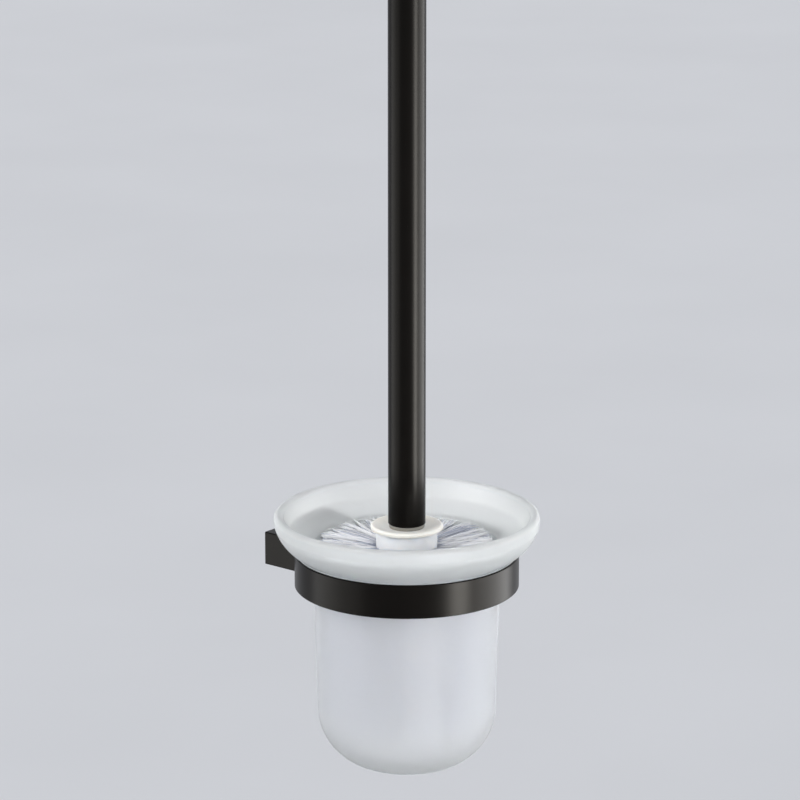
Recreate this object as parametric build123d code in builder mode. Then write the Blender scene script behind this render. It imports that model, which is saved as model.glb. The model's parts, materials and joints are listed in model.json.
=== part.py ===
"""Wall-mounted toilet brush holder: metal ring bracket, frosted glass cup and screw-on brush.

Millimetres, +Z up.  The origin is on the wall, at the middle of the bracket block's back.  The wall
is the plane y = 0, and the object stands out of it towards -Y.
"""
import os
from math import asin, cos, radians, sin, tan

from build123d import *

os.makedirs("parts", exist_ok=True)

# ---- driving dimensions -----------------------------------------------------------------------

# bracket: ring, block and wall fixing
axis_y = -74.0              # distance of the ring's axis from the wall
ring_r = 54.0               # outer radius of the ring band
ring_wall = 2.5
band_height = 16.5          # height of the ring and of the block
block_width = 38.0
block_wall = 2.5
block_cavity_depth = 11.5
edge_chamfer = 0.4
ring_screw_spread = 20.0    # between the two screws that hold the ring to the block
liner_thickness = 0.75
liner_lip = 0.4             # thickness of the liner's lip on top of the ring
liner_lip_r = 53.2
plate_thickness = 5.0
plate_gap = 0.3             # between the wall plate and the block around it
wall_hole_spacing = 18.0    # between the wall plate's two countersunk holes
wall_hole_r = 2.2           # for a 4 mm wood screw
wall_hole_sink_r = 4.2
machine_screw_r = 1.95      # M4
ring_screw_head_r = 3.6
head_land = 0.1             # short cylinder at the edge of a countersunk head
head_clearance = 0.3        # radial room around a screw's head and shank
grub_recess = 0.3

# glass cup
cup_bottom_z = -98.4
cup_floor = 5.0
cup_wall = 3.6
cup_body_r = 45.0           # outer radius of the body at the height of the ring
cup_taper = 1.7             # degrees of taper on the body
cup_corner_r = 28.5         # rounding between the body and the bottom
shoulder_r = 50.4           # shoulder that centres the cup in the liner
seat_r = 52.4               # outer edge of the flat seat under the flange
rim_r = 63.7
rim_top_z = 27.75
lip_inner_r = 59.1
dish_corner_r = 56.0        # where the dish's wall meets its floor
dish_corner_z = 17.75
neck_r = 44.0               # mouth of the cup's deep part
neck_z = 13.6
neck_round = 1.5            # rounding between the dish's floor and the neck
neck_blend_z = -5.0         # where the neck has narrowed to the body's inner wall

# brush and handle
handle_r = 9.0
handle_wall = 1.0
handle_bottom_z = 22.55
handle_top_z = 296.75
cap_thickness = 3.0
stud_r = 3.95               # M8
stud_bottom_z = 9.25
plug_length = 16.0
thread_clearance = 0.05
washer_r = 8.6
washer_thickness = 1.7
collar_r = 17.5
collar_thickness = 1.7
collar_dish = 1.2           # how far the collar's middle lies below its rim
hub_r = 14.7
hub_bottom_z = 7.0
stem_r = 9.0
stem_bottom_z = -84.0
insert_r = 6.0
insert_length = 12.0
bristle_r = 39.0            # reach of the bristles
top_bristle_r = 42.8        # the first row is longer, and fills the cup's mouth
top_row_z = 12.5
row_pitch = 10.0
stem_rows = 9
last_row_r = 34.5           # the last row is shorter, inside the cup's rounded bottom
bristle_root_height = 1.6
bristle_tip_height = 4.4
foot_tuft_r = 13.0
foot_gap = 0.1              # between the lowest bristles and the cup's floor
fit_gap = 0.05              # radial gap of the pieces that sit in one another

# ---- sizes that follow ------------------------------------------------------------------------

band_half = band_height / 2
ring_bore_r = ring_r - ring_wall
liner_bore_r = ring_bore_r - fit_gap - liner_thickness
seat_z = band_half + liner_lip + fit_gap
cup_floor_z = cup_bottom_z + cup_floor
collar_floor_z = handle_bottom_z - washer_thickness
collar_rim_top_z = collar_floor_z + collar_dish
hub_top_z = collar_floor_z - collar_thickness
ring_axis = Plane(origin=(0, axis_y, 0), x_dir=(1, 0, 0), z_dir=(0, 0, 1))
profile_plane = Plane(origin=(0, axis_y, 0), x_dir=(1, 0, 0), z_dir=(0, -1, 0))
turning_axis = Axis((0, axis_y, 0), (0, 0, 1))


def level(z):
    """Horizontal plane at height z, centred on the ring's axis."""
    return ring_axis.offset(z)


def facing_wall(y, x=0.0, z=0.0):
    """Upright plane at y whose normal points at the wall (+Y)."""
    return Plane(origin=(x, y, z), x_dir=(-1, 0, 0), z_dir=(0, 1, 0))


def save(piece, name):
    """Label a finished piece and write it as its own node."""
    piece.part.label = name
    export_step(piece.part, f"parts/{name}.step")


# ---- bracket ----------------------------------------------------------------------------------

with BuildPart() as wall_plate:
    plate_width = block_width - 2 * (block_wall + plate_gap)
    plate_height = band_height - 2 * (block_wall + plate_gap)
    with BuildSketch(facing_wall(-plate_thickness)):
        RectangleRounded(plate_width, plate_height, 1.5)
    extrude(amount=plate_thickness)
    chamfer(wall_plate.faces().sort_by(Axis.Y)[0].edges(), edge_chamfer)
    with Locations(Plane(origin=(0, -plate_thickness, 0), x_dir=(1, 0, 0), z_dir=(0, -1, 0))):
        with GridLocations(wall_hole_spacing, 1, 2, 1):
            CounterSinkHole(wall_hole_r, wall_hole_sink_r, counter_sink_angle=90)
save(wall_plate, "wall_plate")

screw_x = ring_screw_spread / 2
block_front_y = axis_y + ring_r * cos(asin(block_width / 2 / ring_r))
screw_face_y = axis_y + ring_bore_r * cos(asin((screw_x - ring_screw_head_r) / ring_bore_r)) + 0.1
with BuildPart() as mount_block:
    with BuildSketch(facing_wall(block_front_y)):
        RectangleRounded(block_width, band_height, 0.6)
    extrude(amount=-block_front_y)
    with BuildSketch(level(-band_half)):
        Circle(ring_r + fit_gap)
    extrude(amount=band_height, mode=Mode.SUBTRACT)
    with BuildSketch(facing_wall(-block_cavity_depth)):
        RectangleRounded(block_width - 2 * block_wall, band_height - 2 * block_wall, 1.8)
    extrude(amount=block_cavity_depth, mode=Mode.SUBTRACT)
    with BuildSketch(facing_wall(block_front_y)):
        with GridLocations(ring_screw_spread, 1, 2, 1):
            Circle(machine_screw_r + 2 * head_clearance)
    extrude(amount=ring_wall + 0.5, mode=Mode.SUBTRACT)
    with Locations(Plane(origin=(0, -block_cavity_depth, 0), x_dir=(1, 0, 0), z_dir=(0, 1, 0))):
        with GridLocations(ring_screw_spread, 1, 2, 1):
            Hole(machine_screw_r + thread_clearance)
    with Locations(Plane(origin=(0, -plate_thickness / 2, -band_half), z_dir=(0, 0, -1))):
        Hole(machine_screw_r + thread_clearance, depth=block_wall + 1.0)
save(mount_block, "mount_block")

with BuildPart() as grub_screw:
    grub_base = Plane(origin=(0, -plate_thickness / 2, -band_half + grub_recess), x_dir=(1, 0, 0),
                      z_dir=(0, 0, 1))
    grub_height = band_half - grub_recess - plate_height / 2
    with BuildSketch(grub_base):
        Circle(machine_screw_r)
    extrude(amount=grub_height)
    with BuildSketch(grub_base):
        RegularPolygon(1.15, 6)
    extrude(amount=grub_height / 2, mode=Mode.SUBTRACT)
save(grub_screw, "grub_screw")

with BuildPart() as holder_ring:
    with BuildSketch(level(-band_half)):
        Circle(ring_r)
        Circle(ring_bore_r, mode=Mode.SUBTRACT)
    extrude(amount=band_height)
    chamfer(holder_ring.edges().filter_by(GeomType.CIRCLE), edge_chamfer)
    screw_face = Plane(origin=(0, screw_face_y, 0), x_dir=(1, 0, 0), z_dir=(0, -1, 0))
    with BuildSketch(screw_face):
        with GridLocations(ring_screw_spread, 1, 2, 1):
            Circle(ring_screw_head_r + head_clearance)
    extrude(amount=2 * ring_wall, mode=Mode.SUBTRACT)
    with Locations(screw_face):
        with GridLocations(ring_screw_spread, 1, 2, 1):
            CounterSinkHole(machine_screw_r + head_clearance, ring_screw_head_r + head_clearance,
                            depth=2 * ring_wall, counter_sink_angle=90)
save(holder_ring, "holder_ring")


def ring_screw(x):
    """M4 countersunk screw with a hexagon socket, from inside the ring into the block."""
    head_depth = ring_screw_head_r - machine_screw_r
    screw_length = 9.0
    tip_chamfer = 0.5
    with BuildPart() as screw:
        with BuildSketch(Plane(origin=(x, screw_face_y, 0), x_dir=(1, 0, 0), z_dir=(0, 0, 1))):
            with BuildLine():
                Polyline((0, 0), (ring_screw_head_r, 0), (ring_screw_head_r, head_land),
                         (machine_screw_r, head_land + head_depth),
                         (machine_screw_r, screw_length - tip_chamfer),
                         (machine_screw_r - tip_chamfer, screw_length), (0, screw_length), close=True)
            make_face()
        revolve(axis=Axis((x, 0, 0), (0, 1, 0)))
        with BuildSketch(facing_wall(screw_face_y, x)):
            RegularPolygon(1.45, 6)
        extrude(amount=1.2, mode=Mode.SUBTRACT)
    return screw


for side, sign in (("left", -1), ("right", 1)):
    save(ring_screw(sign * screw_x), f"ring_screw_{side}")

with BuildPart() as ring_liner:
    with BuildSketch(profile_plane):
        with BuildLine():
            Polyline((liner_bore_r, -band_half), (ring_bore_r - fit_gap, -band_half),
                     (ring_bore_r - fit_gap, band_half + fit_gap), (liner_lip_r, band_half + fit_gap),
                     (liner_lip_r, band_half + liner_lip), (liner_bore_r, band_half + liner_lip),
                     close=True)
        make_face()
    revolve(axis=turning_axis)
save(ring_liner, "ring_liner")

# ---- glass cup --------------------------------------------------------------------------------


def tapered_r(r, z):
    """Radius at height z of a wall that has radius r at the ring's lower edge."""
    return r + (z + band_half) * tan(radians(cup_taper))


def cup_outline(r, bottom_z, corner, top_z):
    """Bottom, rounded corner and tapered wall, from the axis up to top_z; returns the last point."""
    wall_foot_z = bottom_z + corner * (1 - sin(radians(cup_taper)))
    wall_foot_r = tapered_r(r, wall_foot_z)
    corner_centre_r = wall_foot_r - corner * cos(radians(cup_taper))
    corner_mid = (corner_centre_r + corner * sin(radians(45)),
                  bottom_z + corner - corner * cos(radians(45)))
    Line((0, bottom_z), (corner_centre_r, bottom_z))
    ThreePointArc((corner_centre_r, bottom_z), corner_mid, (wall_foot_r, wall_foot_z))
    Line((wall_foot_r, wall_foot_z), (tapered_r(r, top_z), top_z))
    return tapered_r(r, top_z), top_z


with BuildPart() as glass_cup:
    with BuildSketch(profile_plane):
        with BuildLine():
            body_top = cup_outline(cup_body_r, cup_bottom_z, cup_corner_r, -5.0)
            shoulder_foot = (shoulder_r, 1.5)
            Spline(body_top, shoulder_foot, tangents=((0, 1), (0, 1)), tangent_scalars=(1.2, 1.2))
            Line(shoulder_foot, (shoulder_r, seat_z))
            Line((shoulder_r, seat_z), (seat_r, seat_z))
            flange_top = (rim_r - 0.3, 21.5)
            ThreePointArc((seat_r, seat_z), (59.2, 13.9), flange_top)
            lip_outer = (rim_r, rim_top_z - 2.3)
            Line(flange_top, lip_outer)
            lip_inner = (lip_inner_r, rim_top_z - 2.3)
            ThreePointArc(lip_outer, ((rim_r + lip_inner_r) / 2, rim_top_z), lip_inner)
            dish_wall_foot = (dish_corner_r + 0.9, dish_corner_z + 2.6)
            Line(lip_inner, dish_wall_foot)
            dish_floor_start = (dish_corner_r - 2.6, dish_corner_z - 0.6)
            dish_floor_end = (neck_r + neck_round, neck_z)
            floor_slope = (dish_floor_end[0] - dish_floor_start[0], dish_floor_end[1] - dish_floor_start[1])
            Spline(dish_wall_foot, dish_floor_start, tangents=((-0.35, -1), floor_slope))
            Line(dish_floor_start, dish_floor_end)
            neck_foot = (neck_r, neck_z - neck_round)
            inner_top = (tapered_r(cup_body_r - cup_wall, neck_blend_z), neck_blend_z)
            Spline(dish_floor_end, neck_foot, tangents=(floor_slope, (0, -1)))
            Spline(neck_foot, inner_top, tangents=((0, -1), (0, -1)), tangent_scalars=(1.2, 1.2))
            Line((0, cup_floor_z), (0, cup_bottom_z))
            cup_outline(cup_body_r - cup_wall, cup_floor_z, cup_corner_r - cup_floor, neck_blend_z)
        make_face()
    revolve(axis=turning_axis)
save(glass_cup, "glass_cup")

# ---- handle -----------------------------------------------------------------------------------

with BuildPart() as handle_tube:
    with BuildSketch(level(handle_bottom_z)):
        Circle(handle_r)
        Circle(handle_r - handle_wall, mode=Mode.SUBTRACT)
    extrude(amount=handle_top_z - cap_thickness - handle_bottom_z)
    rim_edges = handle_tube.edges().filter_by(GeomType.CIRCLE).group_by(SortBy.RADIUS)[-1]
    chamfer(rim_edges, edge_chamfer)
save(handle_tube, "handle_tube")

with BuildPart() as handle_cap:
    with BuildSketch(level(handle_top_z - cap_thickness)):
        Circle(handle_r)
    extrude(amount=cap_thickness)
    fillet(handle_cap.faces().sort_by(Axis.Z)[-1].edges(), 1.2)
    chamfer(handle_cap.faces().sort_by(Axis.Z)[0].edges(), edge_chamfer)
    with BuildSketch(level(handle_top_z - cap_thickness)):
        Circle(handle_r - handle_wall - fit_gap)
    extrude(amount=-10.0)
save(handle_cap, "handle_cap")

with BuildPart() as handle_plug:
    with BuildSketch(level(handle_bottom_z)):
        Circle(handle_r - handle_wall - fit_gap)
        Circle(stud_r + thread_clearance, mode=Mode.SUBTRACT)
    extrude(amount=plug_length)
save(handle_plug, "handle_plug")

with BuildPart() as handle_stud:
    with BuildSketch(level(stud_bottom_z)):
        Circle(stud_r)
    extrude(amount=handle_bottom_z + plug_length - stud_bottom_z)
    chamfer(handle_stud.edges().filter_by(GeomType.CIRCLE), 0.8)
save(handle_stud, "handle_stud")

with BuildPart() as neck_washer:
    with BuildSketch(level(collar_floor_z)):
        Circle(washer_r)
        Circle(stud_r + thread_clearance, mode=Mode.SUBTRACT)
    extrude(amount=washer_thickness)
    fillet(neck_washer.edges().filter_by(GeomType.CIRCLE).group_by(SortBy.RADIUS)[-1], 0.4)
save(neck_washer, "neck_washer")

# ---- brush head -------------------------------------------------------------------------------

with BuildPart() as splash_collar:
    with BuildSketch(profile_plane):
        with BuildLine():
            collar_dish_start = (washer_r + 1.4, collar_floor_z)
            collar_rim_inner = (collar_r - 1.6, collar_rim_top_z)
            collar_rim_outer = (collar_r, collar_rim_top_z - 0.8)
            Polyline((stud_r + thread_clearance, hub_top_z), (stud_r + thread_clearance, collar_floor_z),
                     collar_dish_start)
            Spline(collar_dish_start, collar_rim_inner, tangents=((1, 0), (1, 0.25)))
            ThreePointArc(collar_rim_inner, (collar_r - 0.4, collar_rim_top_z - 0.1), collar_rim_outer)
            Line(collar_rim_outer, (collar_r - 0.2, collar_rim_top_z - collar_thickness - 0.2))
            Line((collar_r - 0.2, collar_rim_top_z - collar_thickness - 0.2), (hub_r, hub_top_z))
            Line((hub_r, hub_top_z), (stud_r + thread_clearance, hub_top_z))
        make_face()
    revolve(axis=turning_axis)
save(splash_collar, "splash_collar")

with BuildPart() as brush_core:
    with BuildSketch(level(hub_bottom_z)):
        Circle(hub_r)
    extrude(amount=hub_top_z - hub_bottom_z)
    fillet(brush_core.faces().sort_by(Axis.Z)[0].edges(), 1.5)
    with BuildSketch(level(stem_bottom_z)):
        Circle(stem_r)
    extrude(amount=hub_bottom_z - stem_bottom_z)
    fillet(brush_core.faces().sort_by(Axis.Z)[0].edges(), 1.5)
    with BuildSketch(level(hub_top_z)):
        Circle(insert_r + fit_gap)
    extrude(amount=-insert_length, mode=Mode.SUBTRACT)
save(brush_core, "brush_core")

with BuildPart() as core_insert:
    with BuildSketch(level(hub_top_z)):
        Circle(insert_r)
        Circle(stud_r + thread_clearance, mode=Mode.SUBTRACT)
    extrude(amount=-insert_length)
save(core_insert, "core_insert")


def bristle_row(root_r, reach, z):
    """One ring of bristles, spreading from its roots in the core to its tips."""
    with BuildPart() as row:
        with BuildSketch(profile_plane):
            with BuildLine():
                Polyline((root_r, z - bristle_root_height / 2), (reach, z - bristle_tip_height / 2),
                         (reach, z + bristle_tip_height / 2), (root_r, z + bristle_root_height / 2),
                         close=True)
            make_face()
        revolve(axis=turning_axis)
    return row


save(bristle_row(hub_r + fit_gap, top_bristle_r, top_row_z), "bristle_row_01")
for index in range(stem_rows):
    row_z = hub_bottom_z - row_pitch * (index + 0.5)
    row_r = last_row_r if index == stem_rows - 1 else bristle_r
    save(bristle_row(stem_r + fit_gap, row_r, row_z), f"bristle_row_{index + 2:02d}")

with BuildPart() as bristle_foot:
    foot_top_z = stem_bottom_z - fit_gap
    foot_bottom_z = cup_floor_z + foot_gap
    with BuildSketch(profile_plane):
        with BuildLine():
            Polyline((0, foot_bottom_z), (foot_tuft_r, foot_bottom_z), (stem_r - 2.0, foot_top_z),
                     (0, foot_top_z), close=True)
        make_face()
    revolve(axis=turning_axis)
save(bristle_foot, "bristle_foot")
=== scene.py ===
"""Looks of the wall-mounted toilet brush holder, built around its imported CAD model.

Metres, +Z up.  The wall is the plane y = 0 and the object stands out of it towards -Y.
"""
import json
import math

import bpy
import numpy as np
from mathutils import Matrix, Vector

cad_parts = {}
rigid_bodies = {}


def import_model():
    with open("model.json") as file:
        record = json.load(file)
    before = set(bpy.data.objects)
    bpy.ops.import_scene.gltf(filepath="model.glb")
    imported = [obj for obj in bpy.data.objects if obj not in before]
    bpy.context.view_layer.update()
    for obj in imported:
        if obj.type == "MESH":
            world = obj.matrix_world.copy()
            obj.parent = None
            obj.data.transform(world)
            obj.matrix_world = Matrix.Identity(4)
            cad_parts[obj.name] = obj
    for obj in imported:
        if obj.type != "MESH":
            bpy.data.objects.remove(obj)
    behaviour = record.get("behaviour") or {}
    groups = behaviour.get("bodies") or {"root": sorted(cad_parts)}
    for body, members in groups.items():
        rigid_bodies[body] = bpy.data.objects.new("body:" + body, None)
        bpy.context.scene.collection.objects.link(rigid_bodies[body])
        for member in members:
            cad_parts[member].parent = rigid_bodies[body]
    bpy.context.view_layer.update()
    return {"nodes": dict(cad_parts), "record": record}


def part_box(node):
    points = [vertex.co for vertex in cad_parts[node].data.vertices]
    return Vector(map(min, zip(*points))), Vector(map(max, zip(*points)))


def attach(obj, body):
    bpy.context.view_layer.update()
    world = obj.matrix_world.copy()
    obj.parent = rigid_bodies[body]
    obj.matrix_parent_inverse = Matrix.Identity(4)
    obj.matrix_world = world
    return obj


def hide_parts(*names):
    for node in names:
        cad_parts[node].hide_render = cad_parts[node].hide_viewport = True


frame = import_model()
nodes = frame["nodes"]

MM = 0.001
SEED = 41
TINY = 1e-12     # keeps a division by zero away

# ---- places, read from the frame ------------------------------------------------------------

tube_low, tube_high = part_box("handle_tube")
ring_low, ring_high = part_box("holder_ring")
cup_low, cup_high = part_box("glass_cup")
axis = Vector(((ring_low.x + ring_high.x) / 2, (tube_low.y + tube_high.y) / 2, 0.0))


# ---- material building blocks -----------------------------------------------------------------

def new_material(name):
    """A node material with its tree, Principled shader and object coordinates."""
    material = bpy.data.materials.new(name)
    material.use_nodes = True
    tree = material.node_tree
    tree.nodes.clear()
    output = tree.nodes.new("ShaderNodeOutputMaterial")
    shader = tree.nodes.new("ShaderNodeBsdfPrincipled")
    tree.links.new(shader.outputs["BSDF"], output.inputs["Surface"])
    coordinates = tree.nodes.new("ShaderNodeTexCoord")
    return material, tree, shader, coordinates.outputs["Object"]


def set_values(shader, **values):
    """Constant values on the shader's own sockets; underscores stand for spaces."""
    for key, value in values.items():
        shader.inputs[key.replace("_", " ")].default_value = value


def noise(tree, vector, scale, detail=3.0, roughness=0.5, stretch=None):
    """Noise at a scale per metre; a larger stretch makes it finer along that axis."""
    if stretch is not None:
        mapping = tree.nodes.new("ShaderNodeMapping")
        mapping.inputs["Scale"].default_value = stretch
        tree.links.new(vector, mapping.inputs["Vector"])
        vector = mapping.outputs["Vector"]
    node = tree.nodes.new("ShaderNodeTexNoise")
    node.inputs["Scale"].default_value = scale
    node.inputs["Detail"].default_value = detail
    node.inputs["Roughness"].default_value = roughness
    tree.links.new(vector, node.inputs["Vector"])
    return node.outputs["Fac"]


def ramp(tree, value, stops):
    """A colour ramp; stops are (position, colour)."""
    node = tree.nodes.new("ShaderNodeValToRGB")
    elements = node.color_ramp.elements
    while len(elements) < len(stops):
        elements.new(0.5)
    for element, (position, colour) in zip(elements, stops):
        element.position = position
        element.color = (*colour, 1.0)
    tree.links.new(value, node.inputs["Fac"])
    return node.outputs["Color"]


def mix_colours(tree, factor, first, second):
    """A linked colour mixed towards a constant second one."""
    node = tree.nodes.new("ShaderNodeMix")
    node.data_type = "RGBA"
    colours = {socket.name: socket for socket in node.inputs if socket.type == "RGBA"}
    tree.links.new(factor, node.inputs["Factor"])
    tree.links.new(first, colours["A"])
    colours["B"].default_value = (*second, 1.0)
    return next(socket for socket in node.outputs if socket.type == "RGBA")


def vary_roughness(tree, shader, value, low, high):
    """Roughness from low to high, following a value of 0 to 1."""
    node = tree.nodes.new("ShaderNodeMapRange")
    node.inputs["To Min"].default_value = low
    node.inputs["To Max"].default_value = high
    tree.links.new(value, node.inputs["Value"])
    tree.links.new(node.outputs["Result"], shader.inputs["Roughness"])


def bump(tree, shader, height, distance, strength):
    """Surface relief of a height in metres."""
    node = tree.nodes.new("ShaderNodeBump")
    node.inputs["Strength"].default_value = strength
    node.inputs["Distance"].default_value = distance
    tree.links.new(height, node.inputs["Height"])
    tree.links.new(node.outputs["Normal"], shader.inputs["Normal"])


def shade(colour, factor):
    """A colour made lighter or darker."""
    return tuple(c * factor for c in colour)


def vary_colour(tree, vector, shader, colour, spread, scale):
    """Base colour with a soft, large mottling of plus or minus spread."""
    stops = [(0.3, shade(colour, 1 - spread)), (0.7, shade(colour, 1 + spread))]
    tree.links.new(ramp(tree, noise(tree, vector, scale), stops), shader.inputs["Base Color"])


# ---- materials --------------------------------------------------------------------------------

# share of the cup's height and the glass's colour there, from its foot to its rim
GLASS_ZONES = [
    (0.00, (0.94, 0.97, 0.965)),
    (0.12, (0.92, 0.935, 0.988)),
    (0.70, (0.92, 0.928, 0.993)),
    (0.87, (0.96, 0.97, 0.975)),
    (0.95, (0.965, 0.975, 0.965)),
]
GLASS_PAINTED_TOP_LIGHT = (0.98, 0.965, 0.935)     # faces that point up, warmer: painted light from above
GLASS_PAINTED_TOP_LIGHT_GAIN = 2.5                 # the painted light is full once the normal's Z is 1 / gain
GLASS_DEPTH = (0.85, 0.955, 0.93)       # the green of thick glass
GLASS_DENSITY = 24.0                    # per metre

# a bristle's shade value and its colour: from painted shade deep among the roots and in the lower
# levels to the white of the lit tips
NYLON_PAINTED_SHADE_RAMP = [
    (0.00, (0.05, 0.06, 0.09)),
    (0.45, (0.42, 0.45, 0.56)),
    (0.75, (0.93, 0.93, 0.965)),
    (1.00, (0.98, 0.98, 0.985)),
]


def dark_metal():
    """Black-bronze satin finish: nearly black face on, light where it is seen flat."""
    material, tree, shader, vector = new_material("dark_metal")
    vary_colour(tree, vector, shader, (0.0024, 0.0019, 0.0016), spread=0.15, scale=60)
    grain = noise(tree, vector, 2600, detail=4, roughness=0.6)
    vary_roughness(tree, shader, noise(tree, vector, 90, detail=4), 0.28, 0.34)
    bump(tree, shader, grain, distance=0.02 * MM, strength=0.2)
    set_values(shader, Metallic=0.0, IOR=1.5, Specular_IOR_Level=0.088,
               Specular_Tint=(1.0, 0.96, 0.88, 1.0))
    return material


def turned_metal(name, colour, stretch):
    """Turned or ground metal with fine lines, finer along the axes with a larger stretch."""
    material, tree, shader, vector = new_material(name)
    vary_colour(tree, vector, shader, colour, spread=0.08, scale=120)
    lines = noise(tree, vector, 700, stretch=stretch)
    vary_roughness(tree, shader, lines, 0.22, 0.42)
    bump(tree, shader, lines, distance=0.02 * MM, strength=0.4)
    set_values(shader, Metallic=1.0)
    return material


def frosted_glass():
    """Acid-etched pressed glass: milky, cool in the body, a little green where it is thick, and with
    painted light that makes faces pointing up warmer.
    """
    material, tree, shader, vector = new_material("frosted_glass")
    place = tree.nodes.new("ShaderNodeSeparateXYZ")
    tree.links.new(vector, place.inputs["Vector"])
    height = tree.nodes.new("ShaderNodeMapRange")
    height.inputs["From Min"].default_value = cup_low.z
    height.inputs["From Max"].default_value = cup_high.z
    tree.links.new(place.outputs["Z"], height.inputs["Value"])
    zones = ramp(tree, height.outputs["Result"], GLASS_ZONES)

    # painted light: faces that point up are mixed towards a warmer, lighter colour, as if lit from
    # above
    surface = tree.nodes.new("ShaderNodeNewGeometry")
    facing = tree.nodes.new("ShaderNodeSeparateXYZ")
    tree.links.new(surface.outputs["Normal"], facing.inputs["Vector"])
    upward = tree.nodes.new("ShaderNodeMath")
    upward.operation = "MULTIPLY"
    upward.use_clamp = True
    tree.links.new(facing.outputs["Z"], upward.inputs[0])
    upward.inputs[1].default_value = GLASS_PAINTED_TOP_LIGHT_GAIN
    colour = mix_colours(tree, upward.outputs["Value"], zones, GLASS_PAINTED_TOP_LIGHT)
    tree.links.new(colour, shader.inputs["Base Color"])

    etch = noise(tree, vector, 5200, roughness=0.6)
    vary_roughness(tree, shader, noise(tree, vector, 130), 0.36, 0.42)
    bump(tree, shader, etch, distance=0.012 * MM, strength=0.2)
    set_values(shader, Transmission_Weight=0.74, IOR=1.45, Subsurface_Weight=1.0,
               Subsurface_Scale=8 * MM, Subsurface_Radius=(1.0, 1.0, 1.0))

    depth = tree.nodes.new("ShaderNodeVolumeAbsorption")
    depth.inputs["Color"].default_value = (*GLASS_DEPTH, 1.0)
    depth.inputs["Density"].default_value = GLASS_DENSITY
    tree.links.new(depth.outputs["Volume"], tree.nodes["Material Output"].inputs["Volume"])
    return material


def moulded_plastic(name, colour, roughness, subsurface, depth):
    """Moulded plastic: faint flow mottling, very fine mould texture."""
    material, tree, shader, vector = new_material(name)
    vary_colour(tree, vector, shader, colour, spread=0.03, scale=140)
    vary_roughness(tree, shader, noise(tree, vector, 260, detail=4), *roughness)
    bump(tree, shader, noise(tree, vector, 3200, detail=2), distance=0.012 * MM, strength=0.3)
    set_values(shader, IOR=1.47, Subsurface_Weight=subsurface, Subsurface_Scale=depth,
               Subsurface_Radius=(1.0, 0.85, 0.7))
    return material


def translucent_plastic():
    """The liner's clear, slightly cloudy plastic."""
    material, tree, shader, vector = new_material("clear_plastic")
    vary_colour(tree, vector, shader, (0.80, 0.83, 0.84), spread=0.02, scale=90)
    vary_roughness(tree, shader, noise(tree, vector, 300), 0.25, 0.35)
    bump(tree, shader, noise(tree, vector, 2400), distance=0.01 * MM, strength=0.3)
    set_values(shader, Transmission_Weight=0.7, IOR=1.45)
    return material


def nylon():
    """Bristle filaments: cool white and slightly translucent, with painted blue-grey shade among the
    roots.
    """
    material, tree, shader, vector = new_material("bristle")
    tone_and_painted_shade = tree.nodes.new("ShaderNodeAttribute")
    tone_and_painted_shade.attribute_name = "tone_and_painted_shade"
    # the dark end of this ramp is painted shade among the roots; the light end is the bristles' own
    # white
    colour = ramp(tree, tone_and_painted_shade.outputs["Fac"], NYLON_PAINTED_SHADE_RAMP)
    tree.links.new(colour, shader.inputs["Base Color"])
    vary_roughness(tree, shader, noise(tree, vector, 900), 0.28, 0.45)
    set_values(shader, IOR=1.53, Subsurface_Weight=0.4, Subsurface_Scale=0.6 * MM,
               Subsurface_Radius=(0.9, 0.9, 1.0))
    return material


MATERIALS = {
    "dark_metal": dark_metal(),
    "steel": turned_metal("steel", (0.52, 0.52, 0.51), stretch=(1, 12, 12)),
    "brass": turned_metal("brass", (0.72, 0.50, 0.22), stretch=(8, 8, 1)),
    "frosted_glass": frosted_glass(),
    "white_plastic": moulded_plastic("white_plastic", (0.72, 0.70, 0.645),
                                     roughness=(0.54, 0.62), subsurface=0.6, depth=4 * MM),
    "core_plastic": moulded_plastic("core_plastic", (0.76, 0.765, 0.77),
                                    roughness=(0.54, 0.62), subsurface=0.9, depth=6 * MM),
    "grey_plastic": moulded_plastic("grey_plastic", (0.20, 0.19, 0.165),
                                    roughness=(0.36, 0.46), subsurface=0.0, depth=2 * MM),
    "clear_plastic": translucent_plastic(),
    "bristle": nylon(),
}
SLOT_OF = {row["node"]: row["material_slot"] for row in frame["record"]["subparts"]}


def dress(obj, slot_name):
    """Gives a piece its one material, the one made for the record's slot."""
    obj.data.materials.clear()
    obj.data.materials.append(MATERIALS[slot_name])


for node_name, node in nodes.items():
    dress(node, SLOT_OF[node_name])


# ---- mesh building blocks -----------------------------------------------------------------------

def mesh_piece(name, vertices, faces, body, slot_name, tones_and_painted_shade=None):
    """A mesh object that rides on a body, with a shade for each vertex that holds random differences
    and painted shade.
    """
    mesh = bpy.data.meshes.new(name)
    mesh.from_pydata(vertices.tolist(), [], faces)
    if tones_and_painted_shade is not None:
        attribute = mesh.attributes.new("tone_and_painted_shade", "FLOAT", "POINT")
        attribute.data.foreach_set("value", tones_and_painted_shade.astype(np.float32))
    mesh.validate()
    mesh.update()
    mesh.shade_smooth()
    piece = bpy.data.objects.new(name, mesh)
    bpy.context.scene.collection.objects.link(piece)
    dress(piece, slot_name)
    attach(piece, body)
    return piece


def about_axis(radius, angle, z):
    """Points at a radius, angle and height about the vertical axis of the cup and brush."""
    x = axis.x + radius * np.cos(angle)
    y = axis.y + radius * np.sin(angle)
    return np.stack(np.broadcast_arrays(x, y, z), axis=-1)


def tube_faces(first, rings, sides):
    """Quads and two end caps of a closed tube; its vertices run ring by ring from first."""
    faces = []
    for ring in range(rings - 1):
        for side in range(sides):
            a = first + ring * sides + side
            b = first + ring * sides + (side + 1) % sides
            faces.append((a, b, b + sides, a + sides))
    last = first + (rings - 1) * sides
    faces.append(tuple(first + side for side in reversed(range(sides))))
    faces.append(tuple(last + side for side in range(sides)))
    return faces


# ---- bristles -----------------------------------------------------------------------------------

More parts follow.
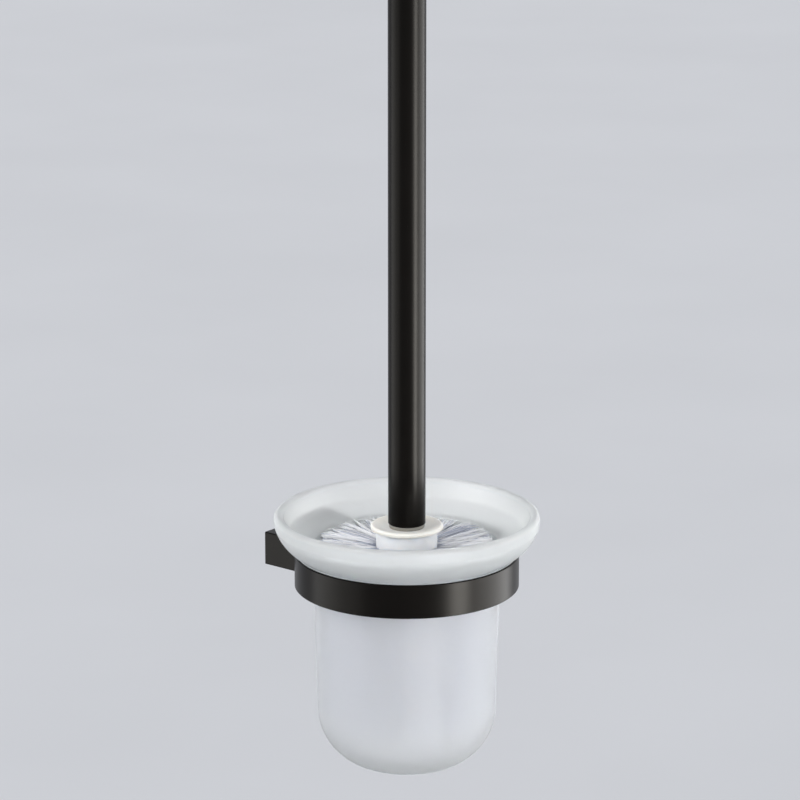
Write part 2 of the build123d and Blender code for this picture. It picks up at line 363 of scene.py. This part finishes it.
# one filament
FILAMENT_SIDES = 4
FILAMENT_RINGS = 6
TIP_TAPER = 0.55            # radius of the tip, as a share of the filament's
ROOT_PAINTED_SHADE = 0.5             # share of its shade that a filament keeps at its root: painted shade among the roots
ROOT_FADE = 2.0             # how fast that share grows along the filament, up to 1
ROOT_DEPTH = 1.0 * MM       # the root's depth inside the core
ROOT_SIDE = 0.8 * MM        # half the width of a tuft's hole
ROOT_RISE = 0.7 * MM        # half the height of a tuft's hole
FAN_CURVE = 0.9             # below 1, filaments fan out early

# clumps of filaments that stick together within a tuft
TUFT_CLUMPS = 10
CLUMP_LIMIT = 1.6           # furthest clump from the tuft's middle, in fans or spreads
CLUMP_SHORT = 0.05          # most that a clump is shorter, as a share
CLUMP_BEND = 0.04           # sideways bend, radians
CLUMP_BOW = 0.25 * MM       # bow, upward in high clumps and downward in low ones
CLUMP_SHADES = (0.5, 1.2)   # darkest and lightest

# how far a filament strays from its clump
LOOSE_ANGLE = 0.07          # in fans
LOOSE_HEIGHT = 0.3          # in spreads
LOOSE_LIMIT = 2             # furthest tip from the tuft's middle, in spreads, before STRAY
LOOSE_SHORT = 0.02
LOOSE_BEND = 0.01
LOOSE_BOW = 0.2 * MM
LOOSE_SHADE = 0.06
STRAY = 0.25 * MM           # average height of a tip above its place
STRAY_LIMIT = 1.6 * MM

# rows of tufts; a level is the root's and the tip's height from the row's middle, and a painted
# shade: the top row's lower levels darker, its top level a little lighter
TOP_LEVELS = [
    (-3.8 * MM, -1.6 * MM, 0.55),
    (-2.8 * MM, -0.6 * MM, 0.85),
    (-1.9 * MM, 0.7 * MM, 1.08),
]
STEM_LEVELS = [
    (-1.2 * MM, -2.0 * MM, 1.0),
    (1.2 * MM, 2.0 * MM, 1.0),
]
ROW_COUNT = 10
STEM_HOLES_R = 9.0 * MM     # where the tufts leave the stem
ROW_FAN = 0.7               # spread of a tuft's fan, as a share of half the pitch
ROW_LEAN = 0.04             # spread of the tufts' angles along a row, radians
LEVEL_LEAN = 0.02           # and between its levels


def filaments(paths, radius, shades):
    """Closed thin tubes along paths (count, rings, 3), narrower at the tip.

    Returns vertices, faces and a shade for each vertex: the filament's own shade, darkened towards
    its root by painted shade.
    """
    count, rings, _ = paths.shape
    tangent = np.gradient(paths, axis=1)
    tangent /= np.linalg.norm(tangent, axis=2, keepdims=True)
    up = np.zeros_like(tangent)
    up[..., 2] = 1.0
    across = np.cross(tangent, up)
    across /= np.linalg.norm(across, axis=2, keepdims=True) + TINY
    over = np.cross(across, tangent)
    thickness = np.full(rings, radius)
    thickness[-1] = radius * TIP_TAPER
    corners = []
    for side in range(FILAMENT_SIDES):
        angle = 2 * math.pi * side / FILAMENT_SIDES
        offset = math.cos(angle) * across + math.sin(angle) * over
        corners.append(paths + offset * thickness[None, :, None])
    vertices = np.stack(corners, axis=2).reshape(-1, 3)
    faces = []
    for index in range(count):
        faces += tube_faces(index * rings * FILAMENT_SIDES, rings, FILAMENT_SIDES)
    # painted shade: each filament darkens towards its root, where the tufts shade one another
    lit = np.clip(np.linspace(0.0, 1.0, rings) * ROOT_FADE + ROOT_PAINTED_SHADE, 0, 1)
    tones_and_painted_shade = np.repeat((shades[:, None] * lit[None, :]).reshape(-1), FILAMENT_SIDES)
    return vertices, faces, tones_and_painted_shade


def tuft_paths(rng, count, azimuth, root_r, root_z, reach, fan, tip_z, spread_z):
    """Centre lines and shades of one tuft's filaments, from their hole to their tips."""
    along = np.linspace(0.0, 1.0, FILAMENT_RINGS)
    bulge = 4 * along * (1 - along)
    clump = rng.integers(0, TUFT_CLUMPS, count)
    clump_a = rng.normal(0, 1, TUFT_CLUMPS).clip(-CLUMP_LIMIT, CLUMP_LIMIT)[clump]
    clump_z = rng.normal(0, 1, TUFT_CLUMPS).clip(-CLUMP_LIMIT, CLUMP_LIMIT)[clump]
    clump_short = rng.uniform(0, CLUMP_SHORT, TUFT_CLUMPS)[clump]
    root_a = azimuth + rng.uniform(-1, 1, count) * ROOT_SIDE / root_r
    tip_a = azimuth + (clump_a + rng.normal(0, LOOSE_ANGLE, count)) * fan
    clump_bend = rng.normal(0, CLUMP_BEND, TUFT_CLUMPS)[clump]
    start_z = root_z + rng.uniform(-1, 1, count) * ROOT_RISE
    stray = rng.exponential(STRAY, count).clip(0, STRAY_LIMIT)
    spread = (clump_z + rng.normal(0, LOOSE_HEIGHT, count)).clip(-LOOSE_LIMIT, LOOSE_LIMIT)
    end_z = tip_z + spread * spread_z + stray
    length = reach * (1 - clump_short - rng.uniform(0, LOOSE_SHORT, count))
    bow = clump_z * CLUMP_BOW + rng.normal(0, LOOSE_BOW, count)
    bend = clump_bend + rng.normal(0, LOOSE_BEND, count)
    start_r = root_r - ROOT_DEPTH
    r = start_r + (length - start_r)[:, None] * along
    a = root_a[:, None] + (tip_a - root_a)[:, None] * along ** FAN_CURVE + bend[:, None] * bulge
    z = start_z[:, None] + (end_z - start_z)[:, None] * along + bow[:, None] * bulge
    clump_shade = rng.uniform(*CLUMP_SHADES, TUFT_CLUMPS)[clump]
    shades = (clump_shade + rng.normal(0, LOOSE_SHADE, count)).clip(0, 1)
    return about_axis(r, a, z), shades


def bristle_row(index, tufts, per_tuft, root_r, levels, spread_z, radius):
    """Replaces one CAD row of bristles by tufts of separate filaments."""
    node = f"bristle_row_{index:02d}"
    low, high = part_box(node)
    reach = (high.x - low.x) / 2
    middle = (low.z + high.z) / 2
    fan = ROW_FAN * math.pi / tufts
    rng = np.random.default_rng(SEED + index)
    lean = rng.normal(0, ROW_LEAN, tufts)
    tuft_list = []
    for root_level, tip_level, level_painted_shade in levels:
        for k in range(tufts):
            azimuth = 2 * math.pi * (k + 0.5 * index) / tufts + lean[k]
            azimuth += rng.normal(0, LEVEL_LEAN)
            paths, shades = tuft_paths(rng, per_tuft, azimuth, root_r, middle + root_level,
                                       reach, fan, middle + tip_level, spread_z)
            # painted shade and light: each level's filaments are darkened or lightened by its shade
            tuft_list.append((paths, shades * level_painted_shade))
    paths, shades = (np.concatenate(part) for part in zip(*tuft_list))
    vertices, faces, tones_and_painted_shade = filaments(paths, radius, shades)
    piece = mesh_piece(f"bristles_{index:02d}", vertices, faces, "brush_head", "bristle", tones_and_painted_shade)
    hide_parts(node)


def bristle_foot():
    """Replaces the CAD foot tuft by filaments that fan out under the end of the stem."""
    count = 420
    root_spread = 6.0 * MM      # radius of the foot's roots
    root_inset = 0.8 * MM       # how far the roots reach up into the stem
    side_room = 0.4 * MM        # between the tips and the CAD foot's side
    tip_room = 0.25 * MM        # and its bottom
    tip_uneven = 0.7 * MM
    flare = 1.4                 # above 1, filaments run straight down first
    low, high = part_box("bristle_foot")
    rng = np.random.default_rng(SEED)
    along = np.linspace(0.0, 1.0, FILAMENT_RINGS)
    angle = rng.uniform(0, 2 * math.pi, count)
    share = np.sqrt(rng.uniform(0, 1, count))
    root_r = share * root_spread
    tip_r = share * ((high.x - low.x) / 2 - side_room)
    r = root_r[:, None] + (tip_r - root_r)[:, None] * along ** flare
    top = high.z + root_inset
    end = low.z + tip_room + rng.uniform(0, 1, count) * tip_uneven
    z = top + (end - top)[:, None] * along
    shades = rng.uniform(0.6, 1.0, count)
    vertices, faces, tones_and_painted_shade = filaments(about_axis(r, angle[:, None], z), 0.2 * MM, shades)
    piece = mesh_piece("bristles_foot", vertices, faces, "brush_head", "bristle", tones_and_painted_shade)
    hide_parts("bristle_foot")


core_low, core_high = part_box("brush_core")
bristle_row(1, tufts=22, per_tuft=24, root_r=(core_high.x - core_low.x) / 2,
            levels=TOP_LEVELS, spread_z=0.6 * MM, radius=0.17 * MM)
for index in range(2, ROW_COUNT + 1):
    bristle_row(index, tufts=16, per_tuft=18, root_r=STEM_HOLES_R,
                levels=STEM_LEVELS, spread_z=1.0 * MM, radius=0.2 * MM)
bristle_foot()


# ---- stud ---------------------------------------------------------------------------------------

def threaded_stud():
    """Replaces the plain CAD stud by one with its M8 thread cut."""
    lead = 1.25 * MM
    depth = 0.62 * MM
    chamfer = 0.8 * MM
    sides = 36
    rings_per_turn = 8
    crest_height = 1.35         # above 1, the crest has a flat
    flank_slope = 3.4           # thread depths per lead
    low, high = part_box("handle_stud")
    crest_r = (high.x - low.x) / 2
    steps = int(round((high.z - low.z) / lead * rings_per_turn))
    z = np.linspace(low.z, high.z, steps + 1)[:, None]
    angle = 2 * math.pi * np.arange(sides) / sides
    phase = (z / lead - angle / (2 * math.pi)) % 1.0
    ridge = np.clip(crest_height - np.abs(phase - 0.5) * flank_slope, 0, 1)
    radius = crest_r - depth + depth * ridge
    from_end = np.minimum(z - low.z, high.z - z)
    radius = np.minimum(radius, crest_r - chamfer + np.minimum(from_end, chamfer))
    vertices = about_axis(radius, angle, z).reshape(-1, 3)
    faces = tube_faces(0, steps + 1, sides)
    piece = mesh_piece("threaded_stud", vertices, faces, "handle", "steel")
    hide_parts("handle_stud")


threaded_stud()


# ---- camera, light and floor ----------------------------------------------------------------------

CAMERA_AZIMUTH = math.radians(-50.5)    # from straight in front of the wall, left is negative
CAMERA_ELEVATION = math.radians(15.17)
CAMERA_DISTANCE = 1.952
CAMERA_LENS = 184.6
SENSOR = 36.0
CLIP_START = 0.01
CLIP_END = 200
AIM_HEIGHT = ring_low.z + 91.95 * MM
AIM_SIDE = -3.26 * MM                   # from the cup's axis, the camera's left is negative
WORLD_COLOUR = (0.80, 0.82, 0.87)
WORLD_STRENGTH = 0.94
FLOOR_COLOUR = (0.80, 0.80, 0.80)
FLOOR_HALF = 60.0                       # its far edge lies close to the horizon
FLOOR_DROP = 0.55                       # below the cup
DARK_NODES = ("holder_ring", "mount_block", "handle_tube", "handle_cap")


def direction(azimuth, elevation):
    """Unit vector from the object towards a viewer at that azimuth and elevation."""
    level = math.cos(elevation)
    return Vector((math.sin(azimuth) * level, -math.cos(azimuth) * level, math.sin(elevation)))


def add_camera():
    """The camera, level and aimed a little beside the cup's axis."""
    right = Vector((math.cos(CAMERA_AZIMUTH), math.sin(CAMERA_AZIMUTH), 0))
    aim = Vector((axis.x, axis.y, AIM_HEIGHT)) + right * AIM_SIDE
    data = bpy.data.cameras.new("camera")
    data.lens = CAMERA_LENS
    data.sensor_width = SENSOR
    data.clip_start = CLIP_START
    data.clip_end = CLIP_END
    camera = bpy.data.objects.new("camera", data)
    bpy.context.scene.collection.objects.link(camera)
    away = direction(CAMERA_AZIMUTH, CAMERA_ELEVATION)
    camera.location = aim + away * CAMERA_DISTANCE
    camera.rotation_euler = (-away).to_track_quat("-Z", "Y").to_euler()
    bpy.context.scene.camera = camera


def add_softbox(name, azimuth, elevation, distance, width, height, power, receivers):
    """A softbox that faces the ring and lights only its receivers.

    Its azimuth counts from the camera, in degrees, and right is positive.
    """
    data = bpy.data.lights.new(name, "AREA")
    data.shape = "RECTANGLE"
    data.size = width
    data.size_y = height
    data.energy = power
    light = bpy.data.objects.new(name, data)
    light.visible_camera = False
    light.light_linking.receiver_collection = receivers
    bpy.context.scene.collection.objects.link(light)
    away = direction(CAMERA_AZIMUTH + math.radians(azimuth), math.radians(elevation))
    light.location = Vector((axis.x, axis.y, ring_low.z)) + away * distance
    light.rotation_euler = away.to_track_quat("Z", "Y").to_euler()


def add_world():
    """Even, slightly cool light from all round."""
    world = bpy.data.worlds.new("studio")
    world.use_nodes = True
    background = world.node_tree.nodes["Background"]
    background.inputs["Color"].default_value = (*WORLD_COLOUR, 1.0)
    background.inputs["Strength"].default_value = WORLD_STRENGTH
    bpy.context.scene.world = world


def add_floor():
    """A plain pale floor below the cup."""
    z = cup_low.z - FLOOR_DROP
    mesh = bpy.data.meshes.new("floor")
    corners = [(-FLOOR_HALF, -FLOOR_HALF, z), (FLOOR_HALF, -FLOOR_HALF, z),
               (FLOOR_HALF, FLOOR_HALF, z), (-FLOOR_HALF, FLOOR_HALF, z)]
    mesh.from_pydata(corners, [], [(0, 1, 2, 3)])
    floor = bpy.data.objects.new("floor", mesh)
    bpy.context.scene.collection.objects.link(floor)
    material, tree, shader, vector = new_material("floor")
    vary_colour(tree, vector, shader, FLOOR_COLOUR, spread=0.015, scale=3)
    set_values(shader, Roughness=0.9, Specular_IOR_Level=0.1)
    mesh.materials.append(material)


add_camera()

# strips and panels that draw the long reflections on the dark metal, a little below its level
# name, azimuth, elevation, distance, width, height, power, what it lights
dark_pieces = bpy.data.collections.new("dark_pieces")
for node_name in DARK_NODES:
    dark_pieces.objects.link(nodes[node_name])
add_softbox("strip_right", 54, -10, 1.5, 0.5, 0.8, 34, dark_pieces)
add_softbox("panel_right", 100, -10, 1.5, 1.5, 0.8, 29, dark_pieces)
add_softbox("panel_left", -90, -10, 1.5, 1.0, 0.8, 9, dark_pieces)
add_softbox("strip_left", -58, -10, 1.5, 0.6, 0.8, 3.3, dark_pieces)

# soft panels all round for the glass, plastics and bristles; the floor isn't there yet
pale_pieces = bpy.data.collections.new("pale_pieces")
for piece in bpy.context.scene.objects:
    if piece.type == "MESH" and piece.name not in dark_pieces.objects:
        pale_pieces.objects.link(piece)
add_softbox("pale_front", 25, 0, 1.6, 1.2, 1.2, 24, pale_pieces)
add_softbox("pale_high", -68, 30, 1.6, 1.0, 1.0, 14, pale_pieces)
add_softbox("pale_left", -88, 0, 1.6, 1.2, 1.2, 5, pale_pieces)
add_softbox("pale_right", 95, 5, 1.6, 1.2, 1.2, 12, pale_pieces)
add_softbox("pale_back_left", -140, 8, 1.5, 1.5, 1.5, 7, pale_pieces)
add_softbox("pale_back_right", 138, 8, 1.5, 1.5, 1.5, 8, pale_pieces)

add_world()
add_floor()
bpy.context.scene.view_settings.view_transform = "Standard"
